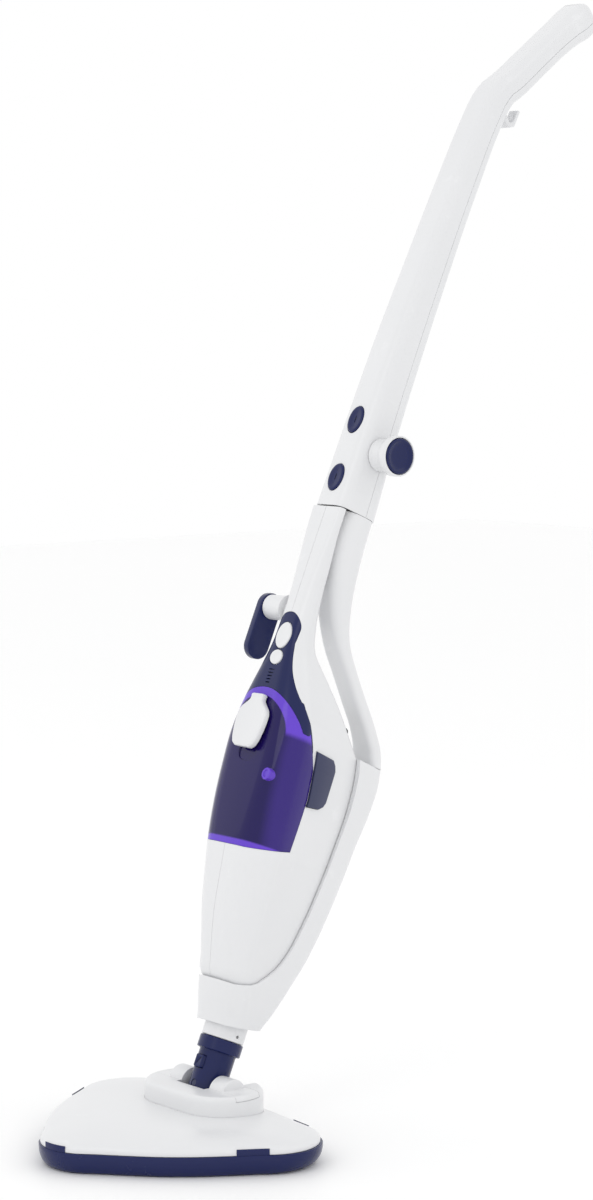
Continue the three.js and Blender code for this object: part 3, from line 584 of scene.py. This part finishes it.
hook = {"y": -66, "z": 432, "reach": 38, "round": 12.5}
unitSkin = cut(unitSolid(0), unitSolid(-unit["wall"], True))
unitSkin = cut(unitSkin, tankZone(unit["gap"]))
unitSkin = cut(unitSkin, panelZone(unit["gap"]))
unitSkin = cut(unitSkin, turned("z", (0, 0), [(8, 50), (8, 80)]))
unitSkin = cut(unitSkin, turned("x", (hook["y"], hook["z"]), [(6.6, -30), (6.6, -5)]))
unitSkin = cut(unitSkin, turned("y", (0, 344), [(7, 0), (7, 60)]))
for side in (-1, 1):
    unitSkin = cut(unitSkin, tabSlot(0.4, side))
leftSkin = cut(copyOf(unitSkin), block(-80, -0.15, -120, 120, 0, 700), "INTERSECT")
rightSkin = cut(unitSkin, block(0.15, 80, -120, 120, 0, 700), "INTERSECT")
finishPiece(leftSkin, "unitLeft", "unit", ["unit_left_shell"])
finishPiece(rightSkin, "unitRight", "unit", ["unit_right_shell"])

buttons = {"steam": {"z": 404, "wide": 19, "tall": 25, "face": -77.8},
           "power": {"z": 383, "wide": 16, "tall": 14, "face": -78.2}}
panel = cut(unitSolid(0), unitSolid(-2.4, True))
panel = cut(panel, panelZone(0), "INTERSECT")
panel = cut(panel, tankZone(unit["gap"]))
for name, look in buttons.items():
    ring = ovalRing(look["z"], look["wide"] + 0.8, look["tall"] + 0.8)
    levels = [(-1.5, -90), (-0.6, look["face"] - 0.4), (0, look["face"] + 0.4), (0, -60)]
    panel = cut(panel, frontPillow(ring, levels))
panelMarks = {"count": 5, "top": 371, "pitch": 3.1, "wide": 7.5}
for i in range(panelMarks["count"]):  # short slots under the power button
    z = panelMarks["top"] - i * panelMarks["pitch"]
    ring = roundedRing(panelMarks["wide"] - i * 0.5, 1.1, 0.5, 4)
    mark = frontPillow(ring, [(0, -77), (0, -79.1), (0.2, -79.3)])
    mark.data.transform(Matrix.Translation((0, 0, z)))
    panel = cut(panel, mark)
finishPiece(panel, "controlPanel", "unit", ["control_panel"])
for name, look in buttons.items():
    face = look["face"]
    ring = ovalRing(look["z"], look["wide"], look["tall"])
    button = frontPillow(ring, [
        (3, face + 4), (0, face + 3.9), (0, face - 0.1), (0.4, face - 0.75), (1.1, face - 1),
        (2.4, face - 1.05),
        (4, face - 0.8), (6, face - 0.6)])
    finishPiece(button, name + "Button", name + "_key", [name + "_button"])

tankBody = cut(unitSolid(0), tankZone(0), "INTERSECT")
tankInside = cut(unitSolid(-tank["wall"]), tankZone(-tank["wall"]), "INTERSECT")
tankBody = cut(tankBody, tankInside)
tankBody = cut(tankBody, turned("y", (0, 312), [(9.2, -90), (9.2, -66)]))
tankBody = cut(tankBody, turned("z", (0, -44), [(4.5, 200), (4.5, 220)]))
pocket = roundedRing(24, 30, 9, 8)
pocket = frontPillow([(x, z + 299.5) for x, z in pocket], [(-0.6, -90), (0, -77), (0.9, -75)])
tankBody = cut(tankBody, pocket)
boss = turned("y", (33, 277), [(5.6, -62), (5.6, -74.6), (5, -75.2), (3.4, -75.2), (3, -74.4), (1, -74.2)], 32)
tankBody = cut(tankBody, boss, "UNION")
finishPiece(tankBody, "waterTank", "tank", ["water_tank"])

capSide = [(346, 6), (345.4, 7.8), (343, 8.2), (340, 8.6), (336.8, 11.6), (333, 16.2), (329, 18.8), (323, 19.5),
           (315, 19), (308, 17.8), (301.5, 15.8), (297.8, 13.4), (295.8, 10)]
capRight = [(half, z) for z, half in (tuple(row[:2]) for row in smoothRows(capSide[::-1], 1.2))]
capOutline = capRight + [(-half, z) for half, z in capRight[::-1]]
cap = frontPillow(capOutline, [
    (1, -80.2), (0, -80.6), (0, -84.2), (0.4, -85.2), (1.2, -85.8), (2.2, -86), (3.4, -85.7)])
stopper = turned("y", (0, 312), [(8.4, -81.5), (8.3, -78), (7.9, -76), (7, -75.6)])
finishPiece(cut(cap, stopper, "UNION"), "tankCap", "filler_cap", ["tank_cap"])

for name, side in (("left", -1), ("right", 1)):
    tab = cut(cut(unitSolid(2.2), unitSolid(-0.8)), tabSlot(0, side), "INTERSECT")
    finishPiece(tab, name + "TankTab", name + "_tab", ["tank_tab_" + name], soften=0.7)

hookPost = turned("x", (hook["y"], hook["z"]), [
    (6.2, -11), (6.2, -18.6), (12.8, -18.8), (12, -21), (11.5, -28), (11.5, -43.4), (11, -44), (4.4, -44),
    (4.3, -36), (2, -36)], 56)
finishPiece(hookPost, "hookPost", "unit", ["hook_post"])
hookRing = (arc(hook["y"], hook["z"], hook["round"], 0, 180, 24)
            + arc(hook["y"], hook["z"] - hook["reach"], hook["round"], 180, 360, 24))
plate = sidePillow(hookRing, [
    (0.8, -44.3), (0, -45), (0, -50.5), (0.35, -51.2), (1.1, -51.5), (2, -51.5), (2.5, -51.1), (2.8, -49.8),
    (3.4, -48.9), (6, -48.8)])
hinge = turned("x", (hook["y"], hook["z"]), [(4, -36), (4, -46)])
finishPiece(cut(plate, hinge, "UNION"), "cordHook", "lower_cord_hook", ["swivel_cord_hook"])
print("hand-held unit made")


# the bow, the cradle and the spout
bow = {"rows": [
    (-47.4, 530.6, 0, 42, 36), (-45.5, 500, -2, 40, 36), (-39.6, 472, -10, 36, 31), (-30.5, 446, -24, 31, 24),
    (-14, 416, -40, 27, 15.5), (4, 397, -46, 26, 13), (26, 375.5, -45, 26, 13), (46, 356, -38, 27, 13),
    (59.5, 338, -22, 31, 13), (64.3, 324.6, 0, 35, 13)]}
bowRows, along = [], 0
for i, (y, z, tilt, width, depth) in enumerate(bow["rows"]):
    if i:
        along += math.dist((y, z), bow["rows"][i - 1][:2])
    bowRows.append((along, y, z, tilt, width, depth))
bowRings = [[tilted(row, x, y) for x, y in roundedRing(row[4], row[5], min(row[4], row[5]) * 0.4)]
            for row in smoothRows(bowRows, 5)]
bowArm = cut(skin(bowRings), unitSolid(1.0))
bowArm = cut(bowArm, block(-40, 40, -90, -66.4, 440, 560))
finishPiece(bowArm, "bowArm", "frame", ["bow_arm"])

cradle = {"rows": [
    (56, -27, 28, 54, 54, 25, 25), (62, -28, 29.5, 55, 55, 25, 25), (74, -32, 35, 58, 56, 26, 25),
    (92, -37.5, 42, 61, 54, 26, 23), (112, -44, 49.5, 64, 50, 28, 21), (132, -51, 56, 68, 49, 30, 20),
    (155, -57.5, 61, 76, 48, 30, 19), (185, -63.5, 66, 85, 47, 30, 19), (216, -69, 69.5, 92, 45.5, 30, 18),
    (250, -73, 72, 97, 44.5, 30, 17), (284, -76, 76, 98, 43, 30, 16), (308, -78, 74.5, 96, 39, 30, 10),
    (324, -79, 71, 88, 35, 28, 6)],
    "seam": [(93, -27), (97, -12), (105, 0), (117, 12), (134, 21), (158, 27), (198, 33), (240, 37), (280, 39),
             (305, 37), (340, 31)]}
cradleRows = smoothRows(cradle["rows"], 5)
shell = skin([unitRing(row, 0) for row in cradleRows])
shell = cut(shell, unitSolid(0.6))
seamCurve = [(row[1], row[0]) for row in smoothRows(cradle["seam"], 4)]
shell = cut(shell, skin([[(x, y, z) for y, z in [(-120, 93)] + seamCurve + [(-120, 340)]] for x in (-80, 80)]))
shell = cut(shell, turned("z", (0, 2), [(24, 63), (26, 94)], 64))
under = [(-60, 40), (60, 40), (60, 66.9), (-30, 54.5)]
shell = cut(shell, skin([[(x, y, z) for y, z in under] for x in (-60, 60)]))
shell = cut(shell, turned("z", (0, 0), [(19.8, 50), (19.8, 64)], 64))
finishPiece(shell, "cradle", "frame", ["cradle"])

spout = turned("z", (0, 0), [
    (9.5, 30.2), (12.4, 30), (12.8, 30.5), (12.8, 44.5), (18.9, 44.6), (19.5, 45.2), (19.5, 63), (19, 63.5),
    (9.5, 63.5)], 64, True)
spout = cut(spout, turned("x", (0, 50), [(1.6, 10), (1.6, 30)], 20))
finishPiece(spout, "frameSpout", "frame", ["frame_spout"])
print("bow and cradle made")


# the neck
neck = {"bore": 13.1, "cavity": 13.4}
neckBody = turned("z", (0, 0), [
    (neck["cavity"], -6), (16.2, -6), (16.7, -5.5), (16.7, 31.2), (17.2, 32.2), (19.3, 32.5), (20, 33.2),
    (20, 43.4),
    (19.5, 44), (18.8, 44.2), (neck["bore"], 44.2), (neck["bore"], 29.6), (9, 29.5), (9, 10.1),
    (neck["cavity"], 10)],
    72, True)
neckBody = cut(neckBody, block(-30, 30, -5.4, 5.4, -8, 8.2))
neckBody = cut(neckBody, turned("y", (0, 0), [(3.4, -20), (3.4, 20)], 32))
neckBody = cut(neckBody, block(-5.3, 5.3, -30, -10, 14, 26.3))
finishPiece(neckBody, "neckAdapter", "neck", ["neck_adapter"])
latch = frontPillow(roundedRing(10, 11.7, 1.5, 6), [
    (1, -12.8), (0, -13), (0, -18.4), (0.4, -19), (1.2, -19.2), (2.2, -18.9)])
latch.data.transform(Matrix.Translation((0, 0, 20.15)))
finishPiece(latch, "neckLatch", "neck_latch", ["neck_latch_button"])
print("neck made")


# the floor head
head = {"width": 290, "front": 172, "back": 35, "corner": 45, "bulge": 9,
        "turret": (124, 77, -3.5, 50), "slotHalf": 20, "slotFloor": 26.2, "trunnion": 14, "axleHeight": 45}
planMiddle = (head["back"] - head["front"]) / 2


def planRing(share, z):
    corner = head["corner"]
    side, rear, nose = head["width"] / 2 - corner, head["back"] - corner, -head["front"] + corner
    turn = math.degrees(math.atan2(rear - nose, side))

    def edge(x, y, angle):
        return x + corner * math.cos(math.radians(angle)), y + corner * math.sin(math.radians(angle))

    def bulged(start, end):
        length = math.dist(start, end)
        points = []
        for i in range(1, 14):
            t = i / 14
            rise = head["bulge"] * math.sin(math.pi * t) ** 1.2
            points.append((start[0] + (end[0] - start[0]) * t + (end[1] - start[1]) / length * rise,
                           start[1] + (end[1] - start[1]) * t - (end[0] - start[0]) / length * rise))
        return points

    left, right = 270 - turn, 270 + turn
    ring = (arc(side, rear, corner, turn - 90, 90, 14) + bulged((side, rear + corner), (-side, rear + corner))
            + arc(-side, rear, corner, 90, left, 14) + bulged(edge(-side, rear, left), edge(0, nose, left))
            + arc(0, nose, corner, left, right, 14) + bulged(edge(0, nose, right), edge(side, rear, right)))
    return [(x * share, planMiddle + (y - planMiddle) * share, z) for x, y in ring]


def planSolid(rows, closed=False):
    return skin([planRing(share, z) for share, z in rows], closed)


def turretSolid(grow=0.0):
    wide, deep, middle, top = head["turret"]
    levels = [(-grow, 20), (-grow, top - 6), (0.4 - grow, top - 3.4), (1.2 - grow, top - 1.7),
              (2.3 - grow, top - 0.7),
              (3.6 - grow, top - 0.15), (5 - grow, top)]
    ring = roundedRing(wide, deep, deep * 0.49, 14)
    return skin([[(x, y + middle, z) for x, y in inset(ring, d)] for d, z in levels])


dome = [(1.0, 19), (1.0, 21), (0.998, 22.2), (0.994, 23.3), (0.986, 24.3), (0.972, 25.4), (0.952, 26.3),
        (0.92, 27.3),
        (0.88, 28.3), (0.83, 29.3), (0.76, 30.4), (0.68, 31.3), (0.58, 32.1), (0.46, 32.7), (0.3, 33),
        (0.06, 33.1)]
underDome = [(share - 0.019, z - 2.6 if z > 20 else z) for share, z in dome if share > 0.1][::-1]
cover = planSolid([(0.06, 30.5)] + underDome + dome)
cover = cut(cover, turretSolid(0.25))
finishPiece(cover, "headCover", "head", ["head_cover"], headPlace)

housing = turretSolid()
axle = head["axleHeight"]
trunnion = head["trunnion"]
bosses = turned("x", (0, axle), [(trunnion - 1, -39), (trunnion, -38), (trunnion, 38), (trunnion - 1, 39)], 64)
housing = cut(housing, bosses, "UNION")
housing = cut(housing, block(-90, 90, -90, 90, 0, 22))
half = head["slotHalf"]
housing = cut(housing, block(-half, half, -19, 19, head["slotFloor"], 90))
housing = cut(housing, block(-half, half, 18, 60, 33.8, 90))
housing = cut(housing, block(-31, 31, 14.6, 60, axle - 6, 90))
housing = cut(housing, turned("x", (0, axle), [(4.5, -34.5), (4.5, 34.5)], 32))
housing = cut(housing, block(-6, 6, -6, 6, 18, 30))
for name, (x0, x1) in {"left": (-80, 0), "right": (0, 80)}.items():
    zone = block(x0, x1, -14, 14, axle + 0.3, 100)
    pivotCap = cut(copyOf(housing), zone, "INTERSECT")
    finishPiece(pivotCap, name + "PivotCap", "head", ["pivot_cap_" + name], headPlace, soften=0.4)
housing = cut(housing, block(-80, 80, -14.3, 14.3, axle, 100))
finishPiece(housing, "jointHousing", "head", ["joint_housing"], headPlace)

spokes = {"share": 0.78, "hub": 27, "wide": 15}
glider = planSolid([(0.93, 0), (0.945, 0.4), (0.962, 1.4), (0.978, 3), (0.992, 5.5), (1.004, 8.5),
(1.011, 11.5),
                    (1.015, 15), (1.015, 18.3), (1.012, 18.7)])
glider = cut(glider, planSolid([(0.945, 4), (0.965, 7), (0.985, 12), (0.985, 22)]))
opening = planSolid([(spokes["share"], -2), (spokes["share"], 6)])
opening = cut(opening, turned("z", (0, planMiddle), [(spokes["hub"], -4), (spokes["hub"], 8)], 56))
for angle in (-90, 30, 150):
    bar = block(0, 140, -spokes["wide"] / 2, spokes["wide"] / 2, -10, 10)
    bar.data.transform(Matrix.Translation((0, planMiddle, 0)) @ Matrix.Rotation(math.radians(angle), 4, "Z"))
    opening = cut(opening, bar)
glider = cut(glider, opening)
rim = planSolid([(1.006, 16), (1.006, 24), (1.0045, 24.5), (1.0025, 24.5), (1.0025, 16)], True)
for x, y in ((6, -171), (126, -50), (-126, -50), (88, 42), (-88, 42)):
    clip = cut(copyOf(rim), block(x - 12, x + 12, y - 12, y + 12, 10, 30), "INTERSECT")
    glider = cut(glider, clip, "UNION")
bpy.data.objects.remove(rim)
finishPiece(glider, "carpetGlider", "glider", ["carpet_glider"], headPlace)

pad = {"low": 4.4, "high": 12.2, "share": 0.93, "step": 0.03, "tuft": 0.5, "seed": 7.3}


def padRow(share, z, lift):
    ring = []
    for x, y, height in planRing(share, z):
        wobble = noise.noise(Vector((x * 0.16, y * 0.16, pad["seed"]))) * pad["tuft"]
        ring.append((x, y, height + lift * (0.4 + wobble)))
    return ring


shares = [pad["share"] - pad["step"] * i for i in range(31)]
under = [padRow(s, pad["low"], 1) for s in reversed(shares)]
side = [planRing(0.936, 6.2), planRing(0.938, 8.3), planRing(0.936, 10.6)]
over = [padRow(s, pad["high"], -1) for s in shares]
fabricPad = skin(under + side + over)
finishPiece(fabricPad, "microfibrePad", "head", ["microfibre_pad"], headPlace)
print("floor head made")

addCamera()
bpy.ops.mesh.primitive_plane_add(size=12, location=(0, 0, 0))
floor = bpy.context.object
floor.name = "floor"
floor.data.materials.append(paleFloor())
lights = {"key": ((0.9, -2.6, 2.2), (0, 0.2, 0.4), 1.6, 7),  # place, aim, size, watts
          "fill": ((-2.6, -1.2, 1.6), (0, 0.2, 0.5), 2.4, 3),
          "back": ((2.2, 2.0, 2.4), (0, 0.2, 0.5), 1.6, 3)}
for name, light in lights.items():
    addLight(name, *light)
world = bpy.data.worlds.new("studio")
world.use_nodes = True
world.node_tree.nodes["Background"].inputs[0].default_value = (1, 1, 1, 1)
world.node_tree.nodes["Background"].inputs[1].default_value = studio["skyStrength"]
scene.world = world
scene.view_settings.view_transform = "Standard"
print("studio ready")
